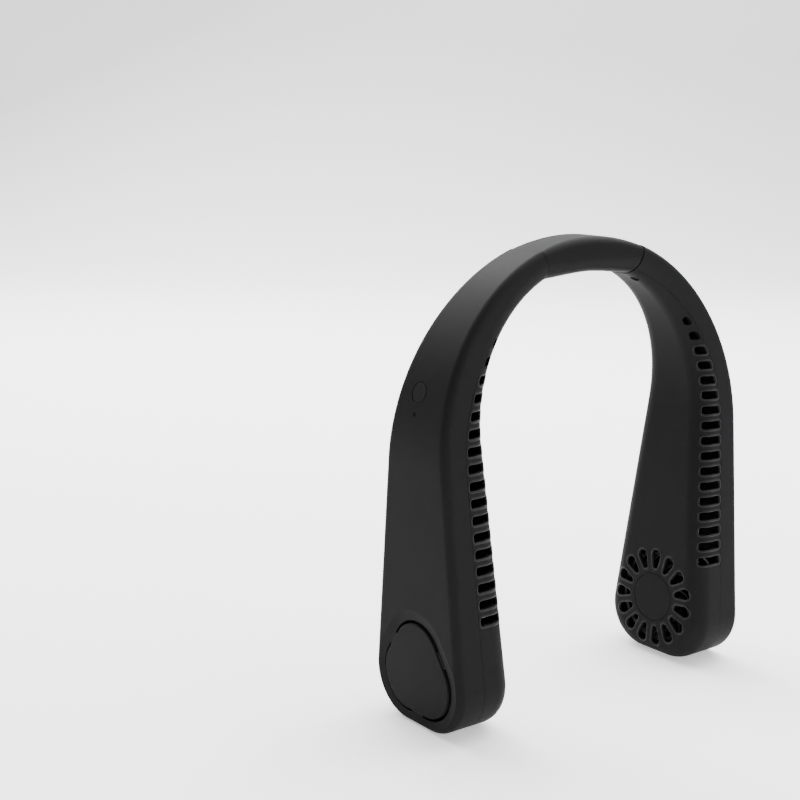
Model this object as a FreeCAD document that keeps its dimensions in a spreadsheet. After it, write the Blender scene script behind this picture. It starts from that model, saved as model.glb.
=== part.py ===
"""Wearable neck fan: a horseshoe of two hollow arms joined by a soft neck link.

Each arm has an outer and an inner shell.  Near its foot a centrifugal fan draws air through a ring
of petals in the inner face and through three arc slits round a cover in the outer face, and blows
it up a duct to a ladder of outlets along the front edge.

Millimetres and degrees.  X runs across the arms, -Y is the front edge with the outlets, +Z is up,
and the origin lies on the floor midway between the two feet.  Pieces are drawn for the right arm
(+X) and mirrored to the left one.
"""
import FreeCAD, Part
import math
import os
import re

import Sketcher
from FreeCAD import Placement, Rotation, Vector

# Driving dimensions
SIZES = {
    # Casing
    "overall_height": 205.0,
    "outer_radius": 88.8,
    "outer_lean": 1.3,
    "crown_thickness": 12.8,
    "shoulder_depth": 23.9,
    "inner_lean": 4.3,
    "foot_width": 62.2,
    "crown_width": 22.0,
    "corner_radius": 21.0,
    "outer_edge_share": 0.27,
    "inner_edge_share": 0.66,
    "wall_thickness": 2.0,
    "parting_depth": 11.2,
    "parting_lean": 2.6,
    "parting_gap": 0.15,
    # Clearances and the overrun of every cut
    "fit_clearance": 0.3,
    "slip_clearance": 0.05,
    "running_clearance": 0.03,
    "cut_overrun": 5.0,
    # Air outlets along the front edge
    "outlet_count": 17,
    "outlet_gap": 1.3,
    "outlet_top_angle": 38.1,
    "outlet_open_share": 0.5675,
    "outlet_corner_share": 0.31,
    "outlet_margin": 1.0,
    # Petal intake on the inner face
    "fan_height": 28.5,
    "petal_count": 15,
    "petal_root_reach": 15.4,
    "petal_tip_reach": 20.65,
    "petal_root_radius": 1.5,
    "petal_tip_radius": 2.65,
    "cap_radius": 11.5,
    "cap_thickness": 1.0,
    "cap_bevel": 0.25,
    "cap_gap": 0.12,
    # Lobed intake cover on the outer face
    "cover_height": 24.4,
    "lobe_radius": 15.0,
    "lobe_spread": 6.45,
    "lobe_rise": 6.3,
    "lobe_drop": 3.2,
    "intake_gap": 1.2,
    "cover_thickness": 2.0,
    "cover_edge_radius": 0.6,
    "bridge_width": 7.3,
    "hook_reach": 1.4,
    "hook_thickness": 1.2,
    "dish_depth": 0.8,
    "dish_width": 4.5,
    # Motor, stations measured from the inner face along the fan axis
    "motor_seat": 3.6,
    "boss_radius": 12.3,
    "plate_radius": 11.0,
    "plate_thickness": 1.0,
    "tube_radius": 2.8,
    "tube_length": 7.6,
    "bearing_radius": 2.1,
    "shaft_radius": 1.0,
    "shaft_tail": 0.4,
    "stator_radius": 8.0,
    "stator_standoff": 2.2,
    "stator_length": 5.0,
    "stator_slots": 6,
    "slot_floor": 4.6,
    "slot_roof": 7.0,
    "slot_width": 1.9,
    "slot_mouth": 0.8,
    "coil_wrap": 0.35,
    "air_gap": 0.3,
    "can_radius": 9.8,
    "can_wall": 0.7,
    "can_standoff": 0.8,
    "can_length": 9.0,
    "can_boss_radius": 2.0,
    "can_boss_length": 0.5,
    "motor_screw_circle": 8.0,
    "motor_screw_count": 3,
    "screw_head_radius": 1.5,
    "screw_head_height": 1.0,
    "screw_radius": 0.8,
    # Impeller
    "impeller_radius": 21.5,
    "hub_wall": 1.0,
    "web_thickness": 1.1,
    "blade_count": 21,
    "blade_root_reach": 14.9,
    "blade_thickness": 0.8,
    "blade_sweep": 20.0,
    "blade_bow": 9.0,
    "blade_start": 3.6,
    "blade_length": 17.6,
    "rim_width": 1.6,
    "rim_thickness": 0.8,
    # Duct partition and battery
    "scroll_gap": 3.5,
    "duct_top_angle": 45.0,
    "duct_thickness": 1.2,
    "battery_gap": 3.3,
    "battery_width": 29.0,
    "battery_thickness": 5.8,
    "battery_corner": 2.0,
    # Neck link
    "seam_angle": 20.0,
    "seam_gap": 0.4,
    "sleeve_drop": 0.25,
    "plug_reach": 6.0,
    "plug_hold": 11.5,
    "spine_depth": 8.2,
    "spine_thickness": 0.5,
    "spine_width": 10.0,
    "spine_hold": 3.0,
    "cable_depth": 5.0,
    "cable_radius": 1.1,
    "cable_tail": 3.0,
    "neck_screw_step": 9.0,
    "neck_screw_offset": 4.5,
    "neck_screw_recess": 2.0,
    "neck_screw_sink": 1.5,
    "neck_screw_length": 5.0,
    # Controls and electronics of the left arm
    "button_angle": 18.3,
    "button_offset": 2.9,
    "button_radius": 4.5,
    "guide_clearance": 0.1,
    "button_height": 3.3,
    "button_edge_radius": 0.4,
    "flange_radius": 5.6,
    "flange_thickness": 0.8,
    "stem_radius": 1.2,
    "stem_length": 1.1,
    "led_step": 6.0,
    "led_radius": 0.9,
    "led_length": 6.3,
    "board_depth": 7.2,
    "board_thickness": 1.0,
    "board_width": 22.0,
    "board_shift": 0.5,
    "board_length": 28.0,
    "board_drop": 1.5,
    "board_corner": 1.5,
    "switch_size": 5.2,
    "switch_height": 1.5,
    "plunger_radius": 1.4,
    "plunger_height": 0.6,
    "board_screw_spread": 10.0,
    "board_screw_offset": 7.5,
    "board_boss_radius": 2.1,
    "board_screw_length": 4.2,
    "usb_width": 8.9,
    "usb_height": 3.2,
    "usb_depth": 7.4,
    "usb_wall": 0.35,
    "usb_corner": 1.2,
    "usb_tongue": 0.7,
    "usb_tongue_width": 6.6,
    "usb_recess": 1.0,
}

# Places worked out from the driving dimensions
PLACES = {
    "inner_radius": "outer_radius-shoulder_depth",
    "parting_radius": "outer_radius-parting_depth",
    "outer_edge_radius": "crown_thickness*outer_edge_share",
    "inner_edge_radius": "crown_thickness*inner_edge_share",
    "outer_centre": "overall_height-outer_radius",
    "inner_centre": "overall_height-crown_thickness-inner_radius",
    "side_slope": "(foot_width-crown_width)/(2*overall_height)",
    "side_cos": "1/sqrt(1+side_slope*side_slope)",
    "side_sin": "side_slope*side_cos",
    "corner_place": "foot_width/2-corner_radius*side_cos/(1-side_sin)",
    "far_reach": "outer_radius+inner_radius",
    "full_depth": "foot_width+2*cut_overrun",
    "full_width": "2*outer_radius+2*cut_overrun",
    "inner_tangent": "inner_centre-inner_radius*sin(inner_lean)",
    "outer_tangent": "outer_centre-outer_radius*sin(outer_lean)",
    "fan_face": "inner_radius*cos(inner_lean)-(inner_tangent-fan_height)*tan(inner_lean)",
    "cover_face": "outer_radius*cos(outer_lean)-(outer_tangent-cover_height)*tan(outer_lean)",
    "outlet_low": "fan_height+impeller_radius+outlet_gap",
    "outlet_top": "outer_centre+parting_radius*sin(outlet_top_angle)",
    "outlet_pitch": "(outlet_top-outlet_low)/(outlet_count-1)",
    "outlet_height": "outlet_pitch*outlet_open_share",
    "outlet_corner": "outlet_height*outlet_corner_share",
    "opening_radius": "lobe_radius+intake_gap",
    "lobe_height": "lobe_rise+lobe_drop",
    "lobe_slant": "sqrt(lobe_spread*lobe_spread+lobe_height*lobe_height)",
    "petal_sin": "(petal_tip_radius-petal_root_radius)/(petal_tip_reach-petal_root_reach)",
    "petal_cos": "sqrt(1-petal_sin*petal_sin)",
    "plate_end": "motor_seat+plate_thickness",
    "tube_end": "plate_end+tube_length",
    "can_open": "plate_end+can_standoff",
    "can_end": "can_open+can_length",
    "can_bore": "can_radius-can_wall",
    "web_front": "can_end+slip_clearance",
    "web_back": "web_front+web_thickness",
    "hub_bore": "can_radius+slip_clearance",
    "hub_radius": "hub_bore+hub_wall",
    "stator_front": "plate_end+stator_standoff",
    "tooth_angle": "180/stator_slots",
    "tooth_half": "slot_roof*sin(tooth_angle)-slot_width*cos(tooth_angle)+slip_clearance",
    "coil_reach": "(slot_roof-(tooth_half+coil_wrap)*sin(tooth_angle))/cos(tooth_angle)-coil_wrap/4",
    "duct_low": "fan_height+impeller_radius+scroll_gap",
    "battery_low": "duct_low+duct_thickness+battery_gap",
    "battery_length": "outer_tangent-battery_low",
    "spine_angle": "seam_angle+spine_hold",
    "cable_angle": "seam_angle+plug_hold+cable_tail",
    "neck_screw_angle": "seam_angle+neck_screw_step",
    "led_angle": "button_angle-led_step",
    "button_z": "outer_centre+outer_radius*sin(button_angle)",
    "stem_end": "button_height+stem_length",
    "board_back": "board_depth+board_thickness",
    "button_half_width": "foot_width/2-side_slope*button_z",
    "usb_mouth": "button_half_width-usb_recess",
    "battery_middle": "battery_low+battery_length/2",
    "battery_face": "outer_radius*cos(outer_lean)-(outer_tangent-battery_middle)*tan(outer_lean)",
}

LEFT_TURN = 1
RIGHT_TURN = -1
NEAR = 1e-6
MIRROR_NORMAL = Vector(1, 0, 0)
TURN_AXIS = Vector(0, 1, 0)

doc = FreeCAD.newDocument("neck_fan")
nodes = {}


def formula(text, own_sheet=False):
    """Write a formula of size names as an expression on the two sheets."""

    def cell(match):
        name = match.group()
        if name in SIZES:
            return "sizes." + name
        return name if own_sheet else "places." + name

    return re.sub(r"[a-z]+(?:_[a-z]+)+", cell, str(text))


def add_sheet(name, cells):
    """Fill a sheet with one named cell for each entry."""
    sheet = doc.addObject("Spreadsheet::Sheet", name)
    for row, (alias, content) in enumerate(cells.items(), start=1):
        sheet.set(f"A{row}", alias)
        sheet.set(f"B{row}", content)
        sheet.setAlias(f"B{row}", alias)
    doc.recompute()
    return sheet


def value(text):
    """Work out a formula of size names as a number."""
    return float(places.evalExpression(formula(text)))


def bind(item, prop, text):
    """Bind a property to a formula of size names."""
    item.setExpression(prop, formula(text))


def place(item, x="0", y="0", z="0", turn="0"):
    """Bind an item's place, and its turn about Y."""
    item.Placement = Placement(Vector(), Rotation(TURN_AXIS, value(turn)))
    for axis, text in zip("xyz", (x, y, z)):
        bind(item, f"Placement.Base.{axis}", text)
    bind(item, "Placement.Rotation.Angle", turn)


def keep(label, item):
    """Name an item as one of the finished pieces."""
    item.Label = label
    nodes[label] = item
    return item


def draw_outline(sketch, corners):
    """Draw a closed outline with its corners and arc radii bound to the sheets.

    A corner (x, y) runs straight to the next one; (x, y, radius, turn) runs to it by an arc.
    """
    spots = [Vector(value(corner[0]), value(corner[1]), 0) for corner in corners]
    runs = []
    for index, corner in enumerate(corners):
        start, end = spots[index], spots[(index + 1) % len(spots)]
        if len(corner) == 2:
            runs.append((sketch.addGeometry(Part.LineSegment(start, end)), 1, 2))
            continue
        radius, turn = value(corner[2]), corner[3]
        chord = end - start
        rise = math.sqrt(max(radius * radius - chord.Length * chord.Length / 4, 0))
        aside = Vector(-chord.y, chord.x, 0).normalize() * (turn * rise)
        centre = (start + end) * 0.5 + aside
        first, last = (start, end) if turn == LEFT_TURN else (end, start)
        angles = [math.atan2(spot.y - centre.y, spot.x - centre.x) for spot in (first, last)]
        circle = Part.Circle(centre, Vector(0, 0, 1), radius)
        ends = (1, 2) if turn == LEFT_TURN else (2, 1)
        runs.append((sketch.addGeometry(Part.ArcOfCircle(circle, *angles)), *ends))
    for index, (run, _, tail) in enumerate(runs):
        follower, head, _ = runs[(index + 1) % len(runs)]
        sketch.addConstraint(Sketcher.Constraint("Coincident", run, tail, follower, head))
    for (run, head, _), corner, spot in zip(runs, corners, spots):
        add_rule(sketch, ("DistanceX", run, head, spot.x), corner[0])
        add_rule(sketch, ("DistanceY", run, head, spot.y), corner[1])
        if len(corner) > 2:
            add_rule(sketch, ("Radius", run, value(corner[2])), corner[2])


def draw_circle(sketch, x, y, radius):
    """Draw a circle with its centre and radius bound to the sheets."""
    centre = Vector(value(x), value(y), 0)
    run = sketch.addGeometry(Part.Circle(centre, Vector(0, 0, 1), value(radius)))
    add_rule(sketch, ("DistanceX", run, 3, centre.x), x)
    add_rule(sketch, ("DistanceY", run, 3, centre.y), y)
    add_rule(sketch, ("Radius", run, value(radius)), radius)


def add_rule(sketch, rule, text):
    """Add one dimension to a sketch and bind it to a formula."""
    index = sketch.addConstraint(Sketcher.Constraint(*rule))
    name = f"rule_{index}"
    sketch.renameConstraint(index, name)
    bind(sketch, f"Constraints.{name}", text)


def rectangle(low_x, low_y, high_x, high_y):
    """Corners of an upright rectangle."""
    return [(low_x, low_y), (high_x, low_y), (high_x, high_y), (low_x, high_y)]


def rounded_rectangle(half_x, half_y, radius, x="0", y="0"):
    """Corners of a rectangle with round corners about a centre."""
    corners = []
    for sign_x, sign_y in ((1, -1), (1, 1), (-1, 1), (-1, -1)):
        near_x = f"({x})+{sign_x}*(({half_x})-({radius}))"
        near_y = f"({y})+{sign_y}*(({half_y})-({radius}))"
        far_x = f"({x})+{sign_x}*({half_x})"
        far_y = f"({y})+{sign_y}*({half_y})"
        entry, leave = ((near_x, far_y), (far_x, near_y))
        if sign_x * sign_y > 0:
            entry, leave = leave, entry
        corners += [(*entry, radius, LEFT_TURN), leave]
    return corners


def new_body(name):
    """Start a solid body."""
    return doc.addObject("PartDesign::Body", name)


def new_sketch(body, role, height="0"):
    """Add a sketch on one of a body's own planes, raised along the plane's normal."""
    sketch = body.newObject("Sketcher::SketchObject", body.Name + "_sketch")
    support = next(item for item in body.Origin.OriginFeatures if item.Role == role)
    sketch.AttachmentSupport = (support, [""])
    sketch.MapMode = "FlatFace"
    bind(sketch, "AttachmentOffset.Base.z", height)
    return sketch


def pad(body, sketch, length, both_ways=False):
    """Raise a sketch into a solid."""
    feature = body.newObject("PartDesign::Pad", body.Name + "_pad")
    feature.Profile = sketch
    bind(feature, "Length", length)
    if both_ways:
        feature.SideType = "Symmetric"
    return feature


def pocket(body, sketch, length, both_ways=False):
    """Cut a sketch into a solid, along the sketch's normal or to both sides, and prove the cut."""
    doc.recompute()
    before = body.Shape.Volume
    feature = body.newObject("PartDesign::Pocket", body.Name + "_pocket")
    feature.Profile = sketch
    feature.Reversed = True
    bind(feature, "Length", length)
    if both_ways:
        feature.SideType = "Symmetric"
    doc.recompute()
    if not body.Shape.Volume < before:
        raise RuntimeError(f"{feature.Name} cuts nothing")
    return feature


def turn_solid(body, sketch, axis="H_Axis", angle="360", both_ways=False):
    """Turn a sketch about one of its own axes."""
    feature = body.newObject("PartDesign::Revolution", body.Name + "_turn")
    feature.Profile = sketch
    feature.ReferenceAxis = (sketch, [axis])
    bind(feature, "Angle", angle)
    feature.Midplane = both_ways
    return feature


def round_pattern(body, original, sketch, count):
    """Repeat a feature round the normal of its sketch."""
    pattern = body.newObject("PartDesign::PolarPattern", body.Name + "_pattern")
    pattern.Originals = [original]
    pattern.Axis = (sketch, ["N_Axis"])
    pattern.Angle = 360
    bind(pattern, "Occurrences", count)
    body.Tip = pattern
    return pattern


def turned_body(name, profile):
    """Make a solid of revolution about its own X axis from corners (x, radius)."""
    body = new_body(name)
    sketch = new_sketch(body, "XY_Plane")
    draw_outline(sketch, profile)
    turn_solid(body, sketch)
    return body


def prism(name, corners, length="full_depth", role="XZ_Plane"):
    """Make a prism to both sides of one of the main planes."""
    body = new_body(name)
    sketch = new_sketch(body, role)
    draw_outline(sketch, corners)
    pad(body, sketch, length, both_ways=True)
    return body


def cut(name, base, *tools):
    """Take tools away from a base, one after the other."""
    for index, tool in enumerate(tools):
        item = doc.addObject("Part::Cut", f"{name}_cut_{index}")
        item.Base = base
        item.Tool = tool
        base = item
    return base


def common(name, base, *tools):
    """Keep what a base shares with each tool."""
    for index, tool in enumerate(tools):
        item = doc.addObject("Part::Common", f"{name}_common_{index}")
        item.Base = base
        item.Tool = tool
        base = item
    return base


def fuse(name, *parts):
    """Join solids that overlap."""
    item = doc.addObject("Part::MultiFuse", name + "_fuse")
    item.Shapes = list(parts)
    return item


def group(name, parts):
    """Keep separate solids together as one piece."""
    item = doc.addObject("Part::Compound", name)
    item.Links = list(parts)
    return item


def mirror(name, source):
    """Mirror a piece of the right arm to the left one."""
    item = doc.addObject("Part::Mirroring", name)
    item.Source = source
    item.Normal = MIRROR_NORMAL
    return item


def keep_pair(name, right):
    """Name a piece of the right arm and its mirrored twin."""
    keep("right_" + name, right)
    keep("left_" + name, mirror("left_" + name, right))


def horseshoe_run(radius, centre, lean):
    """One run of the horseshoe, from the right foot over the crown to the left foot."""
    tangent_x = f"({radius})*cos({lean})"
    tangent_z = f"{centre}-({radius})*sin({lean})"
    foot_x = f"{tangent_x}-({tangent_z}+cut_overrun)*tan({lean})"
    return [
        (foot_x, "-cut_overrun"),
        (tangent_x, tangent_z, radius, LEFT_TURN),
        ("0", f"{centre}+{radius}", radius, LEFT_TURN),
        (f"-({tangent_x})", tangent_z),
        (f"-({foot_x})", "-cut_overrun"),
    ]


def turned_back(run):
    """Follow a horseshoe run the other way."""
    spots = [corner[:2] for corner in reversed(run)]
    arcs = {1, 2}
    radius = run[1][2]
    return [(*spot, radius, RIGHT_TURN) if index in arcs else spot for index, spot in enumerate(spots)]


def side_outline(inset):
    """Tapered side outline of the casing with its round lower corners."""
    radius = f"(corner_radius-({inset}))"
    side_y = f"corner_place+{radius}*side_cos"
    side_z = f"corner_radius+{radius}*side_sin"
    top_z = "overall_height+cut_overrun"
    top_y = f"{side_y}-({top_z}-({side_z}))*side_slope"
    return [
        ("-corner_place", inset),
        ("corner_place", inset, radius, LEFT_TURN),
        (side_y, side_z),
        (top_y, top_z),
        (f"-({top_y})", top_z),
        (f"-({side_y})", side_z, radius, LEFT_TURN),
    ]


def rim_edges(shape, outside):
    """Names of the edges where the outer or the inner run meets the tapered sides."""
    centre = value("outer_centre")
    flanks, runs = [], []
    for face in shape.Faces:
        low_u, high_u, low_v, high_v = face.ParameterRange
        middle = ((low_u + high_u) / 2, (low_v + high_v) / 2)
        normal, spot = face.normalAt(*middle), face.valueAt(*middle)
        if abs(normal.x) < NEAR:
            flanks += face.Edges
        elif abs(normal.y) < NEAR:
            faces_out = normal.dot(Vector(spot.x, 0, spot.z - centre)) > 0
            if faces_out == outside:
                runs += face.Edges
    names = []
    for index, edge in enumerate(shape.Edges, start=1):
        if any(edge.isSame(other) for other in flanks) and any(edge.isSame(other) for other in runs):
            names.append(f"Edge{index}")
    return names


def round_edges(body, names, radius):
    """Round the named edges of a body's last feature."""
    base = body.Tip
    feature = body.newObject("PartDesign::Fillet", body.Name + "_round")
    feature.Base = (base, names)
    bind(feature, "Radius", radius)
    doc.recompute()
    return feature


def casing_form(name, inset):
    """Whole outer form of the casing, drawn in by an inset on all sides."""
    body = new_body(name)
    sketch = new_sketch(body, "XZ_Plane")
    outer = horseshoe_run(f"(outer_radius-({inset}))", "outer_centre", "outer_lean")
    inner = horseshoe_run(f"(inner_radius+({inset}))", "inner_centre", "inner_lean")
    draw_outline(sketch, outer + turned_back(inner))
    pad(body, sketch, "full_depth", both_ways=True)
    waste = new_sketch(body, "YZ_Plane")
    draw_outline(waste, side_outline(inset))
    reach = "overall_height+2*cut_overrun"
    draw_outline(waste, rectangle("-full_depth", "-2*cut_overrun", "full_depth", reach))
    pocket(body, waste, "full_width", both_ways=True)
    round_edges(body, rim_edges(body.Shape, True), f"outer_edge_radius-({inset})")
    round_edges(body, rim_edges(body.Shape, False), f"inner_edge_radius-({inset})")
    return body


def sector(name, first, last):
    """Wedge between two angles from the crown's top, clockwise from the front, about the outer centre."""
    corners = [("0", "outer_centre")]
    for angle in (last, first):
        corners.append((f"far_reach*sin({angle})", f"outer_centre+far_reach*cos({angle})"))
    return prism(name, corners)


def arm_region():
    """Everything to the right of the seam between the right arm and the neck link."""
    start_x = "seam_gap/2*cos(seam_angle)"
    start_z = "outer_centre-seam_gap/2*sin(seam_angle)"
    top_x = f"{start_x}+far_reach*sin(seam_angle)"
    top_z = f"{start_z}+far_reach*cos(seam_angle)"
    return prism("arm_region", [
        (start_x, "-cut_overrun"),
        ("far_reach", "-cut_overrun"),
        ("far_reach", top_z),
        (top_x, top_z),
        (start_x, start_z),
    ])


def neck_region():
    """Wedge of the neck link between the two seams."""
    start_z = "outer_centre+seam_gap/2/sin(seam_angle)"
    top_x = f"(overall_height+cut_overrun-({start_z}))*tan(seam_angle)"
    top_z = "overall_height+cut_overrun"
    return prism("neck_region", [("0", start_z), (top_x, top_z), (f"-({top_x})", top_z)])


def parting_band(name, radius, inner_radius=None):
    """Band outside the parting curve, or between two curves that follow it."""
    outer = horseshoe_run("(outer_radius+cut_overrun)", "outer_centre", "outer_lean")
    if inner_radius is not None:
        outer = horseshoe_run(f"({radius})", "outer_centre", "parting_lean")
        radius = inner_radius
    inner = horseshoe_run(f"({radius})", "outer_centre", "parting_lean")
    return prism(name, outer + turned_back(inner))


def fan_place(item):
    """Put an item on the fan axis, square to the arm's inner face."""
    place(item, x="fan_face", z="fan_height", turn="inner_lean")
    return item


def cover_place(item):
    """Put an item on the outer face, square to it, at the intake cover."""
    place(item, x="cover_face", z="cover_height", turn="outer_lean")
    return item


def button_place(item, angle="button_angle", across="0"):
    """Put an item on the outer face of the shoulder, square to it."""
    x, z = f"outer_radius*cos({angle})", f"outer_centre+outer_radius*sin({angle})"
    place(item, x=x, y=across, z=z, turn=f"-{angle}")
    return item


def outlet_cutter():
    """Ladder of outlet slots between the inner wall and the parting line."""
    outer = horseshoe_run("(parting_radius-outlet_margin)", "outer_centre", "parting_lean")
    inner = horseshoe_run("(inner_radius+wall_thickness+fit_clearance)", "inner_centre", "inner_lean")
    strip = new_body("outlet_strip")
    sketch = new_sketch(strip, "XZ_Plane")
    draw_outline(sketch, outer + turned_back(inner))
    pad(strip, sketch, "full_depth")
    slabs = []
    for index in range(round(value("outlet_count"))):
        slab = doc.addObject("Part::Box", f"outlet_slab_{index}")
        bind(slab, "Length", "far_reach")
        bind(slab, "Width", "full_depth")
        bind(slab, "Height", "outlet_height")
        place(slab, y="-full_depth", z=f"outlet_low+{index}*outlet_pitch-outlet_height/2")
        slabs.append(slab)
    ladder = common("outlet", group("outlet_slabs", slabs), strip)
    doc.recompute()
    levels = {vertex.Z for slab in slabs for vertex in slab.Shape.Vertexes}
    rounded = doc.addObject("Part::Fillet", "outlet_slots")
    rounded.Base = ladder
    radius = value("outlet_corner")
    rounded.Edges = [
        (index, radius, radius)
        for index, edge in enumerate(ladder.Shape.Edges, start=1)
        if abs(edge.tangentAt(edge.FirstParameter).y) > 1 - NEAR
        and min(abs(edge.Vertexes[0].Z - level) for level in levels) < NEAR
    ]
    return rounded


def petal_cutter():
    """Ring of teardrop slots, narrow inward and round outward."""
    body = new_body("petal_cutter")
    sketch = new_sketch(body, "YZ_Plane", "-cut_overrun")
    tip_x, tip_z = "petal_tip_radius*petal_cos", "petal_tip_reach-petal_tip_radius*petal_sin"
    root_x, root_z = "petal_root_radius*petal_cos", "petal_root_reach-petal_root_radius*petal_sin"
    draw_outline(sketch, [
        ("0", "petal_root_reach-petal_root_radius", "petal_root_radius", LEFT_TURN),
        (root_x, root_z),
        (tip_x, tip_z, "petal_tip_radius", LEFT_TURN),
        ("0", "petal_tip_reach+petal_tip_radius", "petal_tip_radius", LEFT_TURN),
        (f"-{tip_x}", tip_z),
        (f"-{root_x}", root_z, "petal_root_radius", LEFT_TURN),
    ])
    body.AllowCompound = True
    petal = pad(body, sketch, "2*cut_overrun")
    round_pattern(body, petal, sketch, "petal_count")
    return fan_place(body)


def lobed_outline(radius):
    """Outline of three equal lobes, one above two, joined by straight sides."""
    side_x, side_z = f"({radius})*lobe_height/lobe_slant", f"({radius})*lobe_spread/lobe_slant"
    return [
        ("lobe_spread", f"-lobe_drop-({radius})", radius, LEFT_TURN),
        (f"lobe_spread+{side_x}", f"{side_z}-lobe_drop"),
        (side_x, f"lobe_rise+{side_z}", radius, LEFT_TURN),
        (f"-{side_x}", f"lobe_rise+{side_z}"),
        (f"-lobe_spread-{side_x}", f"{side_z}-lobe_drop", radius, LEFT_TURN),
        ("-lobe_spread", f"-lobe_drop-({radius})"),
    ]


def bridge_outline(low, high):
    """Rectangles across the three straight sides, from low to high beyond the lobe radius."""
    sides = [
        ("0", "-lobe_drop", "0", "-1"),
        ("lobe_spread/2", "(lobe_rise-lobe_drop)/2", "lobe_height/lobe_slant", "lobe_spread/lobe_slant"),
        ("-lobe_spread/2", "(lobe_rise-lobe_drop)/2", "-lobe_height/lobe_slant", "lobe_spread/lobe_slant"),
    ]
    outlines = []
    for y, z, out_y, out_z in sides:
        corners = []
        for reach, sign in ((low, -1), (high, -1), (high, 1), (low, 1)):
            corners.append((
                f"{y}+(lobe_radius+{reach})*({out_y})-{sign}*bridge_width/2*({out_z})",
                f"{z}+(lobe_radius+{reach})*({out_z})+{sign}*bridge_width/2*({out_y})",
            ))
        outlines.append(corners)
    return outlines


def intake_opening():
    """Lobed hole in the outer face and the shallow dish that leads into it."""
    hole = new_body("intake_hole")
    sketch = new_sketch(hole, "YZ_Plane")
    draw_outline(sketch, lobed_outline("opening_radius"))
    pad(hole, sketch, "4*cover_thickness", both_ways=True)
    dish = new_body("intake_dish")
    floor = new_sketch(dish, "YZ_Plane", "-dish_depth")
    draw_outline(floor, lobed_outline("opening_radius"))
    mouth = new_sketch(dish, "YZ_Plane", "dish_depth")
    draw_outline(mouth, lobed_outline("(opening_radius+2*dish_width)"))
    flare = dish.newObject("PartDesign::AdditiveLoft", "intake_flare")
    flare.Profile = floor
    flare.Sections = [mouth]
    flare.Ruled = True
    return cover_place(hole), cover_place(dish)


def intake_cover():
    """Lobed cover with three bridges that hook under the rim of the opening."""
    body = new_body("intake_plate")
    sketch = new_sketch(body, "YZ_Plane", "-cover_thickness")
    draw_outline(sketch, lobed_outline("lobe_radius"))
    pad(body, sketch, "cover_thickness")
    doc.recompute()
    front = max(body.Shape.Faces, key=lambda face: face.CenterOfMass.x)
    names = [
        f"Edge{index}"
        for index, edge in enumerate(body.Shape.Edges, start=1)
        if any(edge.isSame(other) for other in front.Edges)
    ]
    round_edges(body, names, "cover_edge_radius")
    hook_floor = "-(wall_thickness+fit_clearance+hook_thickness)"
    legs = new_sketch(body, "YZ_Plane", hook_floor)
    for outline in bridge_outline("-hook_thickness", "intake_gap-slip_clearance"):
        draw_outline(legs, outline)
    pad(body, legs, "wall_thickness+fit_clearance+hook_thickness-cover_edge_radius")
    hooks = new_sketch(body, "YZ_Plane", hook_floor)
    for outline in bridge_outline("-hook_thickness", "(intake_gap+hook_reach)"):
        draw_outline(hooks, outline)
    pad(body, hooks, "hook_thickness")
    return cover_place(body)


def screw_body(name, length):
    """Pan-head screw along X, with its head's underside at the origin."""
    return turned_body(name, [
        ("-screw_head_height", "0"),
        ("-screw_head_height", "screw_head_radius"),
        ("0", "screw_head_radius"),
        ("0", "screw_radius"),
        (length, "screw_radius"),
        (length, "0"),
    ])


def fan_spot(along, across, rise):
    """Place of a point given along the fan axis, across the arm and up its inner face."""
    x = f"fan_face+({along})*cos(inner_lean)+({rise})*sin(inner_lean)"
    z = f"fan_height-({along})*sin(inner_lean)+({rise})*cos(inner_lean)"
    return {"x": x, "y": across, "z": z, "turn": "inner_lean"}


def motor_screws():
    """Screws that hold the motor plate, and the cutter for their holes in the inner shell."""
    screws, holes = [], []
    seat = "cap_thickness+screw_head_height+slip_clearance"
    for index in range(round(value("motor_screw_count"))):
        angle = f"(90+360*{index}/motor_screw_count)"
        spot = fan_spot(seat, f"motor_screw_circle*cos({angle})", f"motor_screw_circle*sin({angle})")
        screw = screw_body(f"motor_screw_{index}", f"(plate_end-({seat}))")
        place(screw, **spot)
        screws.append(screw)
        hole = turned_body(f"motor_screw_hole_{index}", [
            ("-2*screw_head_height", "0"),
            ("-2*screw_head_height", "screw_head_radius+fit_clearance"),
            ("0", "screw_head_radius+fit_clearance"),
            ("0", "screw_radius+slip_clearance"),
            ("motor_seat", "screw_radius+slip_clearance"),
            ("motor_seat", "0"),
        ])
        place(hole, **spot)
        holes.append(hole)
    return group("motor_screws", screws), holes


def neck_screw_parts():
    """Screw that holds the neck plug, and the cutter for its recess in the inner face."""
    spot = {
        "x": "(inner_radius+neck_screw_sink)*sin(neck_screw_angle)",
        "y": "-neck_screw_offset",
        "z": "inner_centre+(inner_radius+neck_screw_sink)*cos(neck_screw_angle)",
        "turn": "neck_screw_angle-90",
    }
    screw = screw_body("neck_screw", "neck_screw_length")
    hole = turned_body("neck_screw_hole", [
        ("-cut_overrun", "0"),
        ("-cut_overrun", "neck_screw_recess"),
        ("0", "neck_screw_recess"),
        ("0", "screw_radius+slip_clearance"),
        ("neck_screw_length+fit_clearance", "screw_radius+slip_clearance"),
        ("neck_screw_length+fit_clearance", "0"),
    ])
    place(screw, **spot)
    place(hole, **spot)
    return screw, hole


def motor_plate():
    """Steel plate with the tube that holds the bearing."""
    bore = "(bearing_radius+running_clearance)"
    body = turned_body("motor_plate", [
        ("motor_seat", bore),
        ("motor_seat", "plate_radius"),
        ("plate_end", "plate_radius"),
        ("plate_end", "tube_radius"),
        ("tube_end", "tube_radius"),
        ("tube_end", bore),
    ])
    sketch = new_sketch(body, "YZ_Plane", "motor_seat")
    draw_circle(sketch, "0", "motor_screw_circle", "screw_radius+slip_clearance")
    hole = pocket(body, sketch, "plate_thickness")
    round_pattern(body, hole, sketch, "motor_screw_count")
    return fan_place(body)


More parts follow.
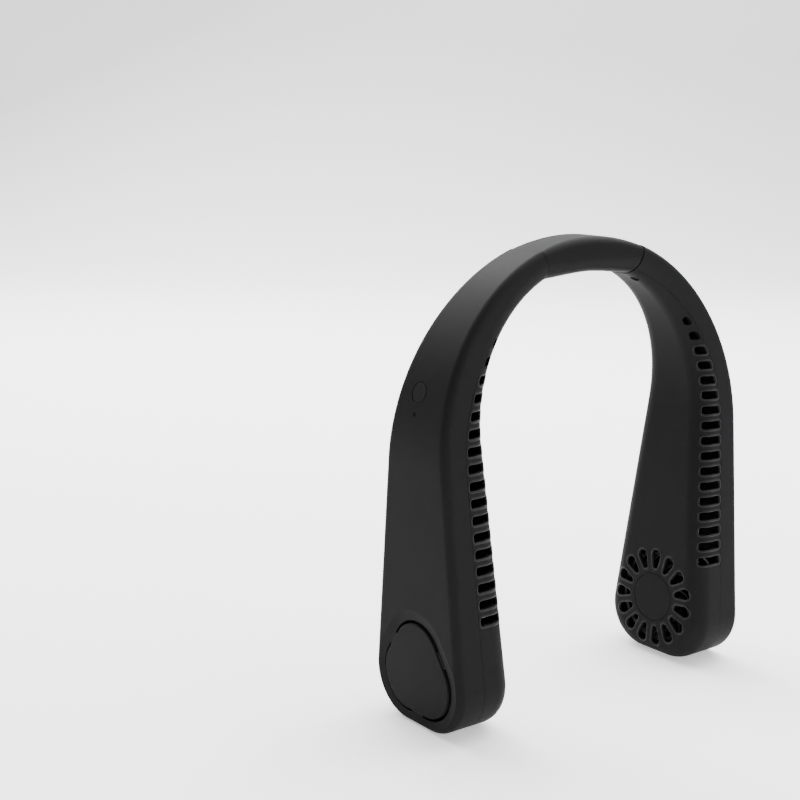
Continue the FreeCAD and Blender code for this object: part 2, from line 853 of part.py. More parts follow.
def stator():
    """Laminated core with its winding slots."""
    body = turned_body("stator", [
        ("stator_front", "tube_radius+running_clearance"),
        ("stator_front", "stator_radius"),
        ("stator_front+stator_length", "stator_radius"),
        ("stator_front+stator_length", "tube_radius+running_clearance"),
    ])
    sketch = new_sketch(body, "YZ_Plane", "stator_front")
    draw_outline(sketch, [
        ("-slot_mouth/2", "stator_radius+cut_overrun"),
        ("-slot_mouth/2", "slot_roof"),
        ("-slot_width", "slot_roof"),
        ("-slot_width/2", "slot_floor"),
        ("slot_width/2", "slot_floor"),
        ("slot_width", "slot_roof"),
        ("slot_mouth/2", "slot_roof"),
        ("slot_mouth/2", "stator_radius+cut_overrun"),
    ])
    slot = pocket(body, sketch, "stator_length")
    round_pattern(body, slot, sketch, "stator_slots")
    return fan_place(body)


def impeller():
    """Double-inlet impeller: cup hub, web, curved blades and a rim at each end."""
    body = turned_body("impeller", [
        ("can_open", "hub_bore"),
        ("can_open", "hub_radius"),
        ("web_front", "hub_radius"),
        ("web_front", "impeller_radius"),
        ("web_back", "impeller_radius"),
        ("web_back", "0"),
        ("web_front", "0"),
        ("web_front", "hub_bore"),
    ])
    sketch = new_sketch(body, "YZ_Plane", "blade_start")
    tip = "(impeller_radius-rim_width/2)"
    root_turn = "(blade_thickness/blade_root_reach*180/pi)"
    tip_turn = f"(blade_sweep+blade_thickness/{tip}*180/pi)"
    draw_outline(sketch, [
        ("blade_root_reach", "0", "blade_bow", LEFT_TURN),
        (f"{tip}*cos(blade_sweep)", f"{tip}*sin(blade_sweep)"),
        (f"{tip}*cos({tip_turn})", f"{tip}*sin({tip_turn})", "blade_bow", RIGHT_TURN),
        (f"blade_root_reach*cos({root_turn})", f"blade_root_reach*sin({root_turn})"),
    ])
    blade = pad(body, sketch, "blade_length")
    round_pattern(body, blade, sketch, "blade_count")
    for start in ("blade_start", "blade_start+blade_length-rim_thickness"):
        rim = new_sketch(body, "YZ_Plane", start)
        draw_circle(rim, "0", "0", "impeller_radius")
        draw_circle(rim, "0", "0", "impeller_radius-rim_width")
        body.Tip = pad(body, rim, "rim_thickness")
    return fan_place(body)


def ring_body(name, start, end, bore, radius):
    """Plain ring along the fan axis."""
    body = turned_body(name, [(start, bore), (start, radius), (end, radius), (end, bore)])
    return fan_place(body)


def stator_coils():
    """Windings round the teeth of the stator."""
    coils = []
    front, back = "stator_front-slip_clearance", "stator_front+stator_length+slip_clearance"
    for index in range(round(value("stator_slots"))):
        body = new_body(f"stator_coil_{index}")
        sketch = new_sketch(body, "XY_Plane", "slot_floor+slip_clearance")
        for extra in ("coil_wrap", "0"):
            sketch_low, sketch_high = f"-tooth_half-{extra}", f"tooth_half+{extra}"
            draw_outline(sketch, rectangle(f"{front}-{extra}", sketch_low, f"{back}+{extra}", sketch_high))
        pad(body, sketch, "coil_reach-slot_floor-slip_clearance")
        angle = value(f"tooth_angle+2*tooth_angle*{index}")
        coils.append(fan_place(body))
        lean = Rotation(TURN_AXIS, value("inner_lean"))
        body.clearExpression("Placement.Rotation.Angle")
        body.Placement.Rotation = lean.multiply(Rotation(Vector(1, 0, 0), angle))
    return group("stator_coils", coils)


def duct_cover(inside):
    """Partition between the air duct and the battery, with a shelf that closes its lower end."""
    near, far = "parting_radius+fit_clearance", "parting_radius+fit_clearance+duct_thickness"
    partition = parting_band("duct_partition", far, near)
    top_x, top_z = "far_reach*sin(duct_top_angle)", "outer_centre+far_reach*cos(duct_top_angle)"
    reach = prism("duct_reach", [
        ("0", "duct_low"), ("far_reach", "duct_low"),
        ("far_reach", top_z), (top_x, top_z), ("0", "outer_centre"),
    ])
    shelf = prism("duct_shelf", rectangle("0", "duct_low", "far_reach", "duct_low+duct_thickness"))
    wall = common("duct_wall", inside, partition, reach)
    floor = common("duct_floor", inside, parting_band("duct_outside", near), shelf)
    return fuse("duct_cover", wall, floor)


def battery():
    """Flat cell that lies against the outer wall."""
    body = new_body("battery")
    sketch = new_sketch(body, "YZ_Plane", "-(wall_thickness+fit_clearance+battery_thickness)")
    draw_outline(sketch, rounded_rectangle("battery_width/2", "battery_length/2", "battery_corner"))
    pad(body, sketch, "battery_thickness")
    place(body, x="battery_face", z="battery_middle", turn="outer_lean")
    return body


def crown_ring(name, depth, angle, draw):
    """Sweep a section over the crown about the outer centre."""
    body = new_body(name)
    sketch = new_sketch(body, "YZ_Plane")
    draw(sketch, f"outer_radius-{depth}")
    turn_solid(body, sketch, angle=f"2*{angle}", both_ways=True)
    place(body, z="outer_centre")
    return body


def spine_body(name, clearance):
    """Spring strip over the crown, or the slot it lies in."""

    def draw(sketch, height):
        half_width, half_height = f"spine_width/2+{clearance}", f"spine_thickness/2+{clearance}"
        draw_outline(sketch, rectangle(
            f"-({half_width})", f"{height}-({half_height})", half_width, f"{height}+{half_height}"))

    return crown_ring(name, "spine_depth", f"(spine_angle+{clearance})", draw)


def cable_body(name, clearance):
    """Cable over the crown, or the hole it runs in."""

    def draw(sketch, height):
        draw_circle(sketch, "0", height, f"cable_radius+{clearance}")

    return crown_ring(name, "cable_depth", f"(cable_angle+{clearance})", draw)


def power_button():
    """Round button with a flange behind the shell and a stem for the switch."""
    edge = "button_edge_radius"
    body = turned_body("power_button", [
        ("0", "0"),
        ("-stem_end", "0"),
        ("-stem_end", "stem_radius"),
        ("-button_height", "stem_radius"),
        ("-button_height", "flange_radius"),
        ("flange_thickness-button_height", "flange_radius"),
        ("flange_thickness-button_height", "button_radius"),
        (f"-{edge}", "button_radius", edge, LEFT_TURN),
        ("0", f"button_radius-{edge}"),
    ])
    return button_place(body, across="button_offset")


def round_hole(name, radius, depth):
    """Cutter for a round hole from outside to a depth."""
    return turned_body(name, [
        (f"-({depth})", "0"), (f"-({depth})", radius), ("cut_overrun", radius), ("cut_overrun", "0"),
    ])


def board_spots():
    """Places of the two board screws, across and up the board."""
    return [("board_shift-board_screw_offset", f"{sign}*board_screw_spread-board_drop") for sign in (1, -1)]


def main_board():
    """Circuit board with its two screw holes."""
    body = new_body("main_board")
    sketch = new_sketch(body, "YZ_Plane", "-board_back")
    draw_outline(sketch, rounded_rectangle(
        "board_width/2", "board_length/2", "board_corner", "board_shift", "-board_drop"))
    for across, rise in board_spots():
        draw_circle(sketch, across, rise, "screw_radius+slip_clearance")
    pad(body, sketch, "board_thickness")
    return button_place(body)


def board_screws():
    """Screws that hold the board to the outer shell."""
    screws = []
    for index, (across, rise) in enumerate(board_spots()):
        screw = screw_body(f"board_screw_{index}", "board_screw_length")
        x = f"(outer_radius-board_back)*cos(button_angle)-({rise})*sin(button_angle)"
        z = f"outer_centre+(outer_radius-board_back)*sin(button_angle)+({rise})*cos(button_angle)"
        place(screw, x=x, y=across, z=z, turn="-button_angle")
        screws.append(screw)
    return group("board_screws", screws)


def board_bosses():
    """Bosses of the outer shell for the board screws."""
    body = new_body("board_bosses")
    body.AllowCompound = True
    sketch = new_sketch(body, "YZ_Plane", "-board_depth")
    holes = new_sketch(body, "YZ_Plane", "-board_depth")
    for across, rise in board_spots():
        draw_circle(sketch, across, rise, "board_boss_radius")
        draw_circle(holes, across, rise, "screw_radius+slip_clearance")
    pad(body, sketch, "board_depth-3*wall_thickness/4")
    pocket(body, holes, "board_screw_length")
    return button_place(body)


def tact_switch():
    """Switch on the board with a round plunger."""
    body = new_body("tact_switch")
    sketch = new_sketch(body, "YZ_Plane", "-board_depth")
    half = "switch_size/2"
    draw_outline(sketch, rectangle(f"-{half}", f"-{half}", half, half))
    pad(body, sketch, "switch_height")
    plunger = new_sketch(body, "YZ_Plane", "switch_height-board_depth")
    draw_circle(plunger, "0", "0", "plunger_radius")
    pad(body, plunger, "plunger_height")
    return button_place(body, across="button_offset")


def usb_outline(grow):
    """Rounded outline of the charging socket, grown by a margin."""
    return rounded_rectangle(
        f"usb_height/2+{grow}", f"usb_width/2+{grow}", f"usb_corner+{grow}", "usb_height/2-board_depth", "0")


def usb_socket():
    """Charging socket with its tongue, mouth towards the back edge."""
    body = new_body("usb_socket")
    sketch = new_sketch(body, "XZ_Plane", "-usb_mouth")
    draw_outline(sketch, usb_outline("0"))
    pad(body, sketch, "usb_depth")
    mouth = new_sketch(body, "XZ_Plane", "-usb_mouth")
    draw_outline(mouth, usb_outline("(-usb_wall)"))
    middle = "usb_height/2-board_depth"
    draw_outline(mouth, rectangle(
        f"{middle}-usb_tongue/2", "-usb_tongue_width/2", f"{middle}+usb_tongue/2", "usb_tongue_width/2"))
    pocket(body, mouth, "usb_depth-2*usb_wall")
    return button_place(body)


def usb_opening():
    """Cutter for the charging socket's opening in the back edge."""
    body = new_body("usb_opening")
    sketch = new_sketch(body, "XZ_Plane", "-usb_mouth-cut_overrun")
    draw_outline(sketch, usb_outline("fit_clearance"))
    pad(body, sketch, "cut_overrun+3*wall_thickness")
    return button_place(body)


def build_shells(casing, cavity):
    """Outer and inner shell of each arm with all their openings."""
    arm = common("arm", cut("shell", casing, cavity), arm_region())
    outer = common("outer_half", arm, parting_band("outer_band", "parting_radius"))
    outer = cut("outer_shell", outer, *intake_opening())
    keep("right_outer_shell", outer)
    button_hole = round_hole("button_hole", "button_radius+guide_clearance", "2*wall_thickness")
    led_hole = round_hole("led_hole", "led_radius+slip_clearance", "2*wall_thickness")
    control_side = cut(
        "control_side", fuse("control_side", outer, board_bosses()),
        button_place(button_hole, across="button_offset"),
        button_place(led_hole, "led_angle", "button_offset"), usb_opening())
    keep("left_outer_shell", mirror("left_outer_shell", control_side))
    inner = cut("inner_half", arm, parting_band("inner_band", "parting_radius-parting_gap"))
    boss = turned_body("motor_boss", [
        ("cap_thickness", "0"), ("cap_thickness", "boss_radius"),
        ("motor_seat", "boss_radius"), ("motor_seat", "0"),
    ])
    recess = turned_body("cap_recess", [
        ("-cut_overrun", "0"), ("-cut_overrun", "cap_radius+cap_gap"),
        ("cap_thickness", "cap_radius+cap_gap"), ("cap_thickness", "0"),
    ])
    screws, screw_holes = motor_screws()
    neck_screw, neck_screw_hole = neck_screw_parts()
    inner = cut(
        "inner_shell", fuse("inner_shell", inner, fan_place(boss)),
        fan_place(recess), petal_cutter(), *screw_holes, outlet_cutter(), neck_screw_hole)
    keep_pair("inner_shell", inner)
    keep_pair("motor_screws", screws)
    keep_pair("neck_screw", neck_screw)
    return neck_screw_hole


def build_fan():
    """Motor, impeller and covers of each arm."""
    cap = turned_body("motor_cap", [
        ("0", "0"), ("0", "cap_radius-cap_bevel"), ("cap_bevel", "cap_radius"),
        ("cap_thickness-slip_clearance", "cap_radius"), ("cap_thickness-slip_clearance", "0"),
    ])
    keep_pair("motor_cap", fan_place(cap))
    keep_pair("motor_plate", motor_plate())
    keep_pair("bearing", ring_body(
        "bearing", "motor_seat+slip_clearance", "tube_end",
        "shaft_radius+running_clearance", "bearing_radius"))
    keep_pair("stator", stator())
    keep_pair("stator_coils", stator_coils())
    shaft = turned_body("shaft", [
        ("motor_seat+shaft_tail", "0"), ("motor_seat+shaft_tail", "shaft_radius"),
        ("can_end", "shaft_radius"), ("can_end", "0"),
    ])
    keep_pair("shaft", fan_place(shaft))
    bore = "shaft_radius+running_clearance/3"
    can = turned_body("rotor_can", [
        ("can_open", "can_bore"), ("can_open", "can_radius"), ("can_end", "can_radius"), ("can_end", bore),
        ("can_end-can_wall-can_boss_length", bore), ("can_end-can_wall-can_boss_length", "can_boss_radius"),
        ("can_end-can_wall", "can_boss_radius"), ("can_end-can_wall", "can_bore"),
    ])
    keep_pair("rotor_can", fan_place(can))
    keep_pair("rotor_magnet", ring_body(
        "rotor_magnet", "stator_front", "stator_front+stator_length",
        "stator_radius+air_gap", "can_bore-running_clearance"))
    keep_pair("impeller", impeller())
    keep_pair("intake_cover", intake_cover())


def build_neck(cavity, inside, neck_screw_hole):
    """Soft link over the crown with the plugs, the spring strip and the cable inside it."""
    sleeve = common("neck_sleeve", casing_form("sleeve_form", "sleeve_drop"), neck_region())
    keep("neck_sleeve", cut("neck_sleeve", sleeve, cavity))
    keep("neck_spine", spine_body("neck_spine", "0"))
    keep("neck_cable", cable_body("neck_cable", "0"))
    hold = sector("plug_sector", "seam_angle-plug_reach", "seam_angle+plug_hold")
    plug = cut(
        "neck_plug", common("neck_plug", inside, hold),
        spine_body("spine_slot", "fit_clearance"), cable_body("cable_hole", "fit_clearance"), neck_screw_hole)
    keep_pair("neck_plug", plug)


def build_controls():
    """Button, lamp, switch, board and charging socket of the left arm."""
    lens = turned_body("led_lens", [
        ("0", "0"), ("-led_length", "0"), ("-led_length", "led_radius"), ("0", "led_radius"),
    ])
    pieces = {
        "power_button": power_button(),
        "led_lens": button_place(lens, "led_angle", "button_offset"),
        "tact_switch": tact_switch(),
        "main_board": main_board(),
        "board_screws": board_screws(),
        "usb_socket": usb_socket(),
    }
    for name, piece in pieces.items():
        keep(name, mirror("left_" + name, piece))


def check_and_write():
    """Check every object and each finished piece, then write the pieces out."""
    doc.recompute()
    faults = [item.Name for item in doc.Objects if {"Invalid", "Error"} & set(item.State)]
    for name, item in nodes.items():
        if item.Shape.isNull() or not item.Shape.isValid() or not item.Shape.Solids:
            faults.append(name)
    if faults:
        raise RuntimeError("faulty: " + ", ".join(faults))
    os.makedirs("parts", exist_ok=True)
    for name, item in nodes.items():
        item.Shape.exportStep(f"parts/{name}.step")


def main():
    """Build every piece, check it and write it out."""
    casing = casing_form("casing", "0")
    cavity = casing_form("cavity", "wall_thickness")
    inside = casing_form("inside", "(wall_thickness+fit_clearance)")
    neck_screw_hole = build_shells(casing, cavity)
    build_fan()
    keep_pair("duct_cover", duct_cover(inside))
    keep_pair("battery", battery())
    build_neck(cavity, inside, neck_screw_hole)
    build_controls()
    check_and_write()


sizes = add_sheet("sizes", {name: str(size) for name, size in SIZES.items()})
places = add_sheet("places", {name: "=" + formula(text, own_sheet=True) for name, text in PLACES.items()})
main()
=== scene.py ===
"""Looks of a wearable neck fan: moulded black casing, soft neck link, fans, controls and studio."""

import logging
import math
from dataclasses import dataclass, field
from enum import Enum

import bmesh
import bpy
from mathutils import Matrix, Vector

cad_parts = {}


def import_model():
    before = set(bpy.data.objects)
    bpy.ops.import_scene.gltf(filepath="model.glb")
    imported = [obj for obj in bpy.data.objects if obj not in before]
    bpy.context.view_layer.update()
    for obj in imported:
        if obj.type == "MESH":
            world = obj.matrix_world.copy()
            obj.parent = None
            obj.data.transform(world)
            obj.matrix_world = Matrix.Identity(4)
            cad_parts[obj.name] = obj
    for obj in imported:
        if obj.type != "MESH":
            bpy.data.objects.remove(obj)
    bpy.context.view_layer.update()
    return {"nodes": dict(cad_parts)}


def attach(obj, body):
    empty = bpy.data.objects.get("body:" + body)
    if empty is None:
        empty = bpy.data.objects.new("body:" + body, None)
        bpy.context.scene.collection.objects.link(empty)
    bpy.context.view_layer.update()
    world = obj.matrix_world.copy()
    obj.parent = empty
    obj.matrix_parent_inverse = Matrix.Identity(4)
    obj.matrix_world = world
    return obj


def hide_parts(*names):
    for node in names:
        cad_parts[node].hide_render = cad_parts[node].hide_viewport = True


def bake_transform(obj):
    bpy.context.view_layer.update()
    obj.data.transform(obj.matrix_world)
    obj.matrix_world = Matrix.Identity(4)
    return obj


log = logging.getLogger("neck_fan")

MM = 0.001
BEVEL_SAMPLES = 6
CLOUD_DETAIL = 3.0
GRAIN_DETAIL = 2.0
GRAIN_ROUGHNESS = 0.6
WHITE = "#ffffff"
# About the length of one band of Blender's wave texture at a scale of one.
WAVE_BAND = 0.3


class Side(Enum):
    """The two arms, named as in the frame."""

    LEFT = "left"
    RIGHT = "right"

    @property
    def body(self) -> str:
        """Name of the arm's body."""
        return f"{self.value}_arm"

    @property
    def sign(self) -> int:
        """Direction of the arm along X."""
        return -1 if self is Side.LEFT else 1


def linear(colour: str) -> tuple[float, float, float, float]:
    """Turn an sRGB hex colour into linear light.

    Args:
        colour: Six hex digits with a leading hash.

    Returns:
        Linear red, green and blue, and full opacity.
    """
    parts = [int(colour[start:start + 2], 16) / 255 for start in (1, 3, 5)]
    red, green, blue = (c / 12.92 if c <= 0.04045 else ((c + 0.055) / 1.055) ** 2.4 for c in parts)
    return red, green, blue, 1.0


def add_node(
    tree: bpy.types.NodeTree, kind: str, inputs: dict[str, object] | None = None, **settings: object
) -> bpy.types.Node:
    """Add a node with its settings, its socket values and its links.

    Args:
        tree: Node tree to add to.
        kind: Blender's name of the node type.
        inputs: Socket name to a value, or to the output socket that feeds it.
        settings: Attributes of the node itself.

    Returns:
        The new node.
    """
    node = tree.nodes.new(kind)
    for name, setting in settings.items():
        setattr(node, name, setting)
    for name, given in (inputs or {}).items():
        if isinstance(given, bpy.types.NodeSocket):
            tree.links.new(given, node.inputs[name])
        else:
            node.inputs[name].default_value = given
    return node


@dataclass(frozen=True)
class Finish:
    """A surface with a cloudy tone, a fine grain, a matching bump and softened edges.

    Sizes are those of the real surface in millimetres.
    """

    name: str
    colour: str
    cloud_colour: str
    roughness: float
    roughness_spread: float = 0.06
    metallic: float = 0.0
    ior: float = 1.5
    specular: float = 0.5
    cloud_mm: float = 18.0
    grain_mm: float = 0.5
    grain_depth_mm: float = 0.02
    stretch: tuple[float, float, float] = (1.0, 1.0, 1.0)
    edge_mm: float = 0.2

    def material(self) -> bpy.types.Material:
        """Make the material, or find it if it was made before.

        Returns:
            The material of this finish.
        """
        found = bpy.data.materials.get(self.name)
        if found is not None:
            return found
        made = bpy.data.materials.new(self.name)
        made.use_nodes = True
        made.node_tree.nodes.clear()
        self.build(made.node_tree)
        return made

    def build(self, tree: bpy.types.NodeTree) -> None:
        """Fill the node tree.

        Args:
            tree: Empty node tree of the material.
        """
        place = add_node(tree, "ShaderNodeTexCoord").outputs["Object"]
        spread = add_node(tree, "ShaderNodeMapping", {"Vector": place, "Scale": self.stretch})
        grain = self.grain(tree, spread.outputs["Vector"])
        cloud = add_node(tree, "ShaderNodeTexNoise", {
            "Vector": place, "Scale": 1 / (self.cloud_mm * MM), "Detail": CLOUD_DETAIL,
        })
        tone = add_node(tree, "ShaderNodeMix", {
            "Factor": cloud.outputs["Fac"], "A": linear(self.colour), "B": linear(self.cloud_colour),
        }, data_type="RGBA")
        soft = add_node(tree, "ShaderNodeBevel", {"Radius": self.edge_mm * MM}, samples=BEVEL_SAMPLES)
        sheen = add_node(tree, "ShaderNodeMapRange", {
            "Value": grain, "To Min": self.roughness - self.roughness_spread,
            "To Max": self.roughness + self.roughness_spread,
        })
        bump = add_node(tree, "ShaderNodeBump", {
            "Height": grain, "Distance": self.grain_depth_mm * MM, "Strength": 1.0,
            "Normal": soft.outputs["Normal"],
        })
        shader = add_node(tree, "ShaderNodeBsdfPrincipled", {
            "Base Color": tone.outputs["Result"], "Roughness": sheen.outputs["Result"],
            "Metallic": self.metallic, "IOR": self.ior, "Specular IOR Level": self.specular,
            "Normal": bump.outputs["Normal"], **self.extras(),
        })
        add_node(tree, "ShaderNodeOutputMaterial", {"Surface": shader.outputs["BSDF"]})

    def grain(self, tree: bpy.types.NodeTree, place: bpy.types.NodeSocket) -> bpy.types.NodeSocket:
        """Height of the fine grain.

        Args:
            tree: Node tree of the material.
            place: Coordinates to draw the grain on.

        Returns:
            Socket with the grain's height from 0 to 1.
        """
        return add_node(tree, "ShaderNodeTexNoise", {
            "Vector": place, "Scale": 1 / (self.grain_mm * MM), "Detail": GRAIN_DETAIL,
            "Roughness": GRAIN_ROUGHNESS,
        }).outputs["Fac"]

    def extras(self) -> dict[str, object]:
        """Further socket values of the shader."""
        return {}


@dataclass(frozen=True)
class Banded(Finish):
    """A surface of even rows, such as turns of wire or the edges of stacked sheets."""

    band_mm: float = 0.5
    unevenness: float = 0.1

    def grain(self, tree: bpy.types.NodeTree, place: bpy.types.NodeSocket) -> bpy.types.NodeSocket:
        """Height of the rows, laid as a wave across the surface."""
        return add_node(tree, "ShaderNodeTexWave", {
            "Vector": place, "Scale": WAVE_BAND / (self.band_mm * MM), "Distortion": self.unevenness,
        }, wave_type="BANDS", bands_direction="X").outputs["Fac"]


@dataclass(frozen=True)
class Lens(Finish):
    """Clear plastic rod, frosted at its end."""

    transmission: float = 0.05

    def extras(self) -> dict[str, object]:
        """Let some light through the rod."""
        return {"Transmission Weight": self.transmission}


@dataclass(frozen=True)
class LightTable(Finish):
    """White acrylic sheet with light under it."""

    glow: float = 0.3

    def extras(self) -> dict[str, object]:
        """Let the sheet give off light of its own."""
        return {"Emission Color": linear(WHITE), "Emission Strength": self.glow}


# ABS moulded in a spark-eroded tool: an even dark satin with a fine pebble that softens highlights.
# The real pebble is about 0.1 mm; it is drawn at 0.55 mm so that it shows.
CASING = Finish("moulded_black_abs", "#19191a", "#1d1d1e", 0.48, grain_mm=0.55, grain_depth_mm=0.012,
                specular=0.02, cloud_mm=30.0, edge_mm=0.1)
# The lips round the openings: the same plastic where handling has rubbed the pebble smooth,
# so they catch the light.
LIP = Finish("rubbed_black_abs", "#171718", "#1c1c1d", 0.3, grain_mm=0.4, grain_depth_mm=0.004,
             specular=0.11, cloud_mm=12.0, edge_mm=0.05)
# The covers are moulded apart in the same plastic: a slightly finer pebble sets them off from the shell.
COVER = Finish("moulded_black_abs_cover", "#181819", "#1c1c1d", 0.46, grain_mm=0.45, grain_depth_mm=0.010,
               specular=0.02, cloud_mm=24.0, edge_mm=0.3)
# Liquid silicone over the neck link: duller than the plastic, with a dusty bloom.
SLEEVE = Finish("moulded_black_silicone", "#181819", "#1c1c1d", 0.5, grain_mm=0.4, grain_depth_mm=0.008,
                specular=0.03, ior=1.42, cloud_mm=22.0)
# Polycarbonate key with a smoother skin than the shell around it.
BUTTON = Finish("moulded_black_polycarbonate", "#1b1b1c", "#1f1f20", 0.4, grain_mm=0.35,
                grain_depth_mm=0.006, specular=0.03)
# Glass-filled nylon of the impeller: dull, with faint flow clouds.
IMPELLER = Finish("glass_filled_nylon", "#262627", "#2f2f30", 0.55, grain_mm=0.3, cloud_mm=8.0,
                  specular=0.3)
# Inner mouldings that nobody polishes: dull and dark, so the outlets look deep.
DUCT = Finish("unpolished_black_abs", "#19191a", "#212122", 0.6, grain_mm=0.5, cloud_mm=20.0, specular=0.1)
# Screws with a phosphate coat: a dry, dark crystal skin that hides the metal. The colour is set darker
# than the coat itself as painted shade, so the screw recesses read black.
SCREW_WITH_PAINTED_SHADE = Finish("black_phosphated_steel_painted_shade", "#0d0d0e", "#151516", 0.7, grain_mm=0.15, cloud_mm=3.0,
               specular=0.05)
# Zinc-plated pressed steel: pale and slightly clouded.
PLATE = Finish("zinc_plated_steel", "#a9abb0", "#bdbfc3", 0.35, metallic=1.0, grain_mm=0.25, cloud_mm=5.0)
# Ground shaft: fine rings round its length.
SHAFT = Finish("ground_steel", "#b4b6ba", "#c4c6ca", 0.2, metallic=1.0, grain_mm=0.15,
               stretch=(8.0, 1.0, 1.0))
# Cold-rolled spring strip with its rolling lines.
SPRING = Finish("rolled_spring_steel", "#9c9ea3", "#aeb0b4", 0.28, metallic=1.0, grain_mm=0.3,
                stretch=(0.1, 1.0, 0.1))
# Nickel-plated drawn shell of the charging socket: bright and faintly warm.
SOCKET = Finish("nickel_plated_steel", "#b9b6b0", "#c9c6c0", 0.22, metallic=1.0, grain_mm=0.2,
                cloud_mm=3.0)
# Sintered bronze: warm metal with open pores.
BEARING = Finish("sintered_bronze", "#a47c46", "#b58c54", 0.45, metallic=1.0, grain_mm=0.15,
                 grain_depth_mm=0.03)
# Stamped silicon steel: dark and matt, with the lines of its sheets.
CORE = Banded("stamped_silicon_steel", "#55565a", "#66676b", 0.5, metallic=1.0)
# Enamelled copper wire: orange-brown, glossy, in rows.
COIL = Banded("enamelled_copper_wire", "#9a4b22", "#b35f30", 0.3, metallic=0.9, grain_depth_mm=0.1,
              band_mm=0.35, unevenness=0.6)
# Bonded ferrite: almost black, dry.
MAGNET = Finish("bonded_ferrite", "#232326", "#2d2d30", 0.6, grain_mm=0.2, cloud_mm=4.0)
# Laminated foil pouch: silver with soft dents.
POUCH = Finish("laminated_foil_pouch", "#9fa2a6", "#b3b6ba", 0.3, metallic=0.9, grain_mm=6.0,
               grain_depth_mm=0.25, cloud_mm=14.0)
# Cable jacket in soft vinyl: black with a soft sheen.
JACKET = Finish("soft_vinyl_jacket", "#1b1b1b", "#252525", 0.5, grain_mm=0.3, cloud_mm=6.0)
# Green solder mask over copper traces: glossy with faint steps.
BOARD = Finish("green_solder_mask", "#0f4a26", "#17602f", 0.25, grain_mm=1.4, grain_depth_mm=0.03,
               cloud_mm=2.2)
# Switch housing in heat-proof plastic: an even dull black.
SWITCH = Finish("heat_proof_black_plastic", "#202021", "#2b2b2c", 0.55, grain_mm=0.2)
# Acrylic light pipe: it looks like a dark dot while the lamp is off.
LENS = Lens("frosted_acrylic", "#010101", "#020203", 0.7, ior=1.49, grain_mm=0.2, specular=0.02)
# Cast acrylic sheet of a light table: an even white with a soft satin, so shadows stay faint.
FLOOR = LightTable("satin_white_acrylic", "#f4f4f4", "#f6f6f6", 0.8, grain_mm=2.0, grain_depth_mm=0.02,
                   cloud_mm=400.0, specular=0.2, glow=0.6)


def dress(nodes: dict[str, bpy.types.Object], finishes: dict[str, Finish]) -> None:
    """Give frame nodes their materials and report each one.

    Args:
        nodes: The frame's nodes by name.
        finishes: Node name to its finish.
    """
    for name, finish in finishes.items():
        mesh = nodes[name].data
        mesh.materials.clear()
        mesh.materials.append(finish.material())
        log.info("dressed %s in %s", name, finish.name)


def add_piece(name: str, shape: bmesh.types.BMesh, finish: Finish) -> bpy.types.Object:
    """Turn a mesh in millimetres into a smooth shaded object of the scene.

    Args:
        name: Name of the piece.
        shape: Mesh in the frame's axes, in millimetres; it is freed.
        finish: Finish of the piece.

    Returns:
        The new object.
    """
    bmesh.ops.recalc_face_normals(shape, faces=shape.faces)
    bmesh.ops.transform(shape, matrix=Matrix.Scale(MM, 4), verts=shape.verts)
    mesh = bpy.data.meshes.new(name)
    shape.to_mesh(mesh)
    shape.free()
    mesh.shade_smooth()
    mesh.materials.append(finish.material())
    piece = bpy.data.objects.new(name, mesh)
    bpy.context.scene.collection.objects.link(piece)
    log.info("made %s with %d faces in %s", name, len(mesh.polygons), finish.name)
    return piece


def lay(shape: bmesh.types.BMesh, rings: list[list[Vector]], closed: bool, capped: bool = False) -> None:
    """Lay faces between rings of points.

    Args:
        shape: Mesh to add the faces to.
        rings: Rings with equal numbers of points.
        closed: Whether the last ring joins the first one.
        capped: Whether the first and last rings get end faces.
    """
    grid = [[shape.verts.new(point) for point in ring] for ring in rings]
    pairs = list(zip(grid, grid[1:]))
    if closed:
        pairs.append((grid[-1], grid[0]))
    for here, there in pairs:
        for index in range(len(here)):
            after = (index + 1) % len(here)
            shape.faces.new((here[index], here[after], there[after], there[index]))
    if capped:
        shape.faces.new(grid[0])
        shape.faces.new(grid[-1])


def skin(rings: list[list[Vector]], closed: bool, capped: bool = False) -> bmesh.types.BMesh:
    """Make a mesh of one run of rings.

    Args:
        rings: Rings with equal numbers of points.
        closed: Whether the last ring joins the first one.
        capped: Whether the first and last rings get end faces.

    Returns:
        The new mesh.
    """
    shape = bmesh.new()
    lay(shape, rings, closed, capped)
    return shape


